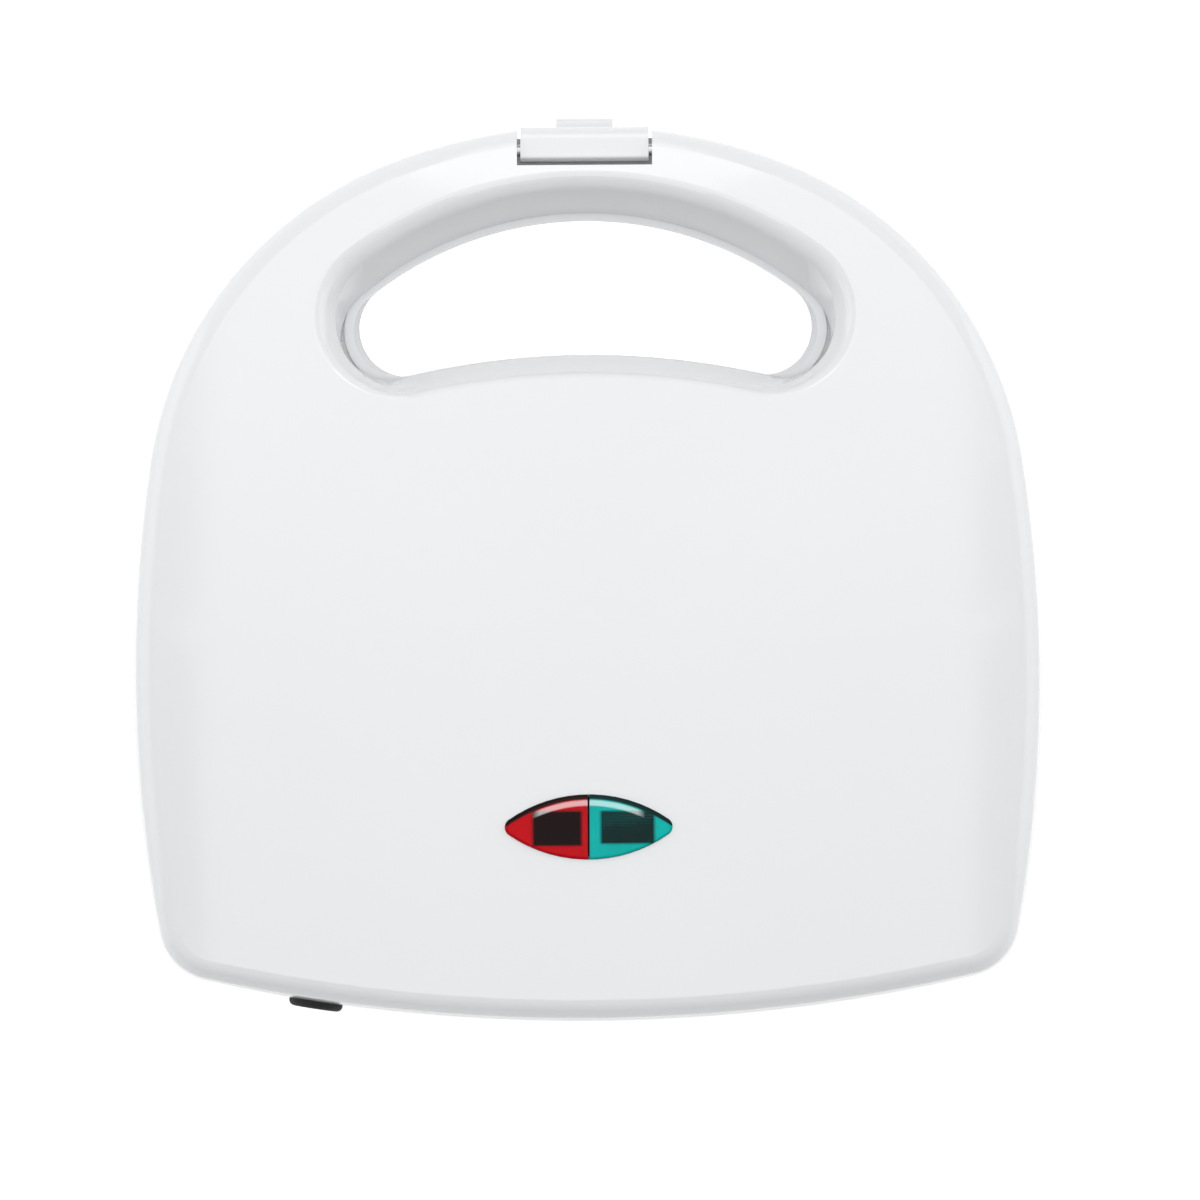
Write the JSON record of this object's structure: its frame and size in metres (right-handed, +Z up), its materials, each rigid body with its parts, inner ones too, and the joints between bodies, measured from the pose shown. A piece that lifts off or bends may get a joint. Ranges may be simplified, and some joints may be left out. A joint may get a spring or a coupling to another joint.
{
  "type": "sandwich maker",
  "caption": "Countertop sandwich maker: two hinged halves with non-stick plates, a loop handle with a latch clip, and a red and green lamp window in the crowned lid.",
  "frame": {"origin": "on the table, under the middle of the closed sandwich maker", "axes": "+Z up from the feet, -Y towards the handle and latch, +X towards the side of the red lens; the lid's hinge line runs along X at the rear"},
  "size_m": [0.235, 0.2335, 0.076],
  "materials": {
    "white_plastic": "gloss",
    "latch_plastic": "gloss",
    "nonstick": "satin",
    "heater_steel": "satin",
    "sheet_steel": "satin",
    "shield_sheet": "satin",
    "screw_steel": "satin",
    "pin_steel": "satin",
    "red_lens": "gloss",
    "green_lens": "gloss",
    "dark_plastic": "matt",
    "block_plastic": "matt",
    "lamp_glass": "gloss",
    "lead_jacket": "matt",
    "sleeve_rubber": "matt",
    "thermostat_steel": "satin",
    "fuse_sleeve": "matt",
    "gland_rubber": "matt",
    "foot_rubber": "matt"
  },
  "bodies": {
    "base": {"lower_housing": "white_plastic", "lower_frame": "white_plastic", "lower_plate": "nonstick", "lower_heating_element": "heater_steel", "lower_element_clips": "sheet_steel", "lower_heat_shield": "shield_sheet", "lower_shield_screws": "screw_steel", "lower_housing_screws": "screw_steel", "thermostat": "thermostat_steel", "thermostat_screws": "screw_steel", "thermal_fuse": "fuse_sleeve", "fuse_clip": "sheet_steel", "terminal_block": "block_plastic", "cord_clamp": "block_plastic", "cord_clamp_screws": "screw_steel", "cord_gland": "gland_rubber", "lower_lead_sleeve": "sleeve_rubber", "lower_leads": "lead_jacket", "rubber_feet": "foot_rubber", "hinge_pins": "pin_steel"},
    "lid": {"upper_housing": "white_plastic", "upper_frame": "white_plastic", "upper_plate": "nonstick", "upper_heating_element": "heater_steel", "upper_element_clips": "sheet_steel", "upper_heat_shield": "shield_sheet", "upper_shield_screws": "screw_steel", "upper_housing_screws": "screw_steel", "red_lens": "red_lens", "green_lens": "green_lens", "lamp_holder": "dark_plastic", "red_neon_lamp": "lamp_glass", "green_neon_lamp": "lamp_glass", "lamp_holder_screws": "screw_steel", "upper_leads": "lead_jacket", "upper_lead_sleeve": "sleeve_rubber", "latch_pin": "pin_steel"},
    "latch_clip": {"latch": "latch_plastic"}
  },
  "joints": [
    {"name": "lid_hinge", "type": "hinge", "parent": "base", "child": "lid", "pos_m": [0, 0.106, 0.03], "axis": [-1, 0, 0], "range_deg": [0, 105]},
    {"name": "latch_hinge", "type": "hinge", "parent": "lid", "child": "latch_clip", "pos_m": [0, -0.1093, 0.054], "axis": [-1, 0, 0], "range_deg": [0, 35]}
  ]
}
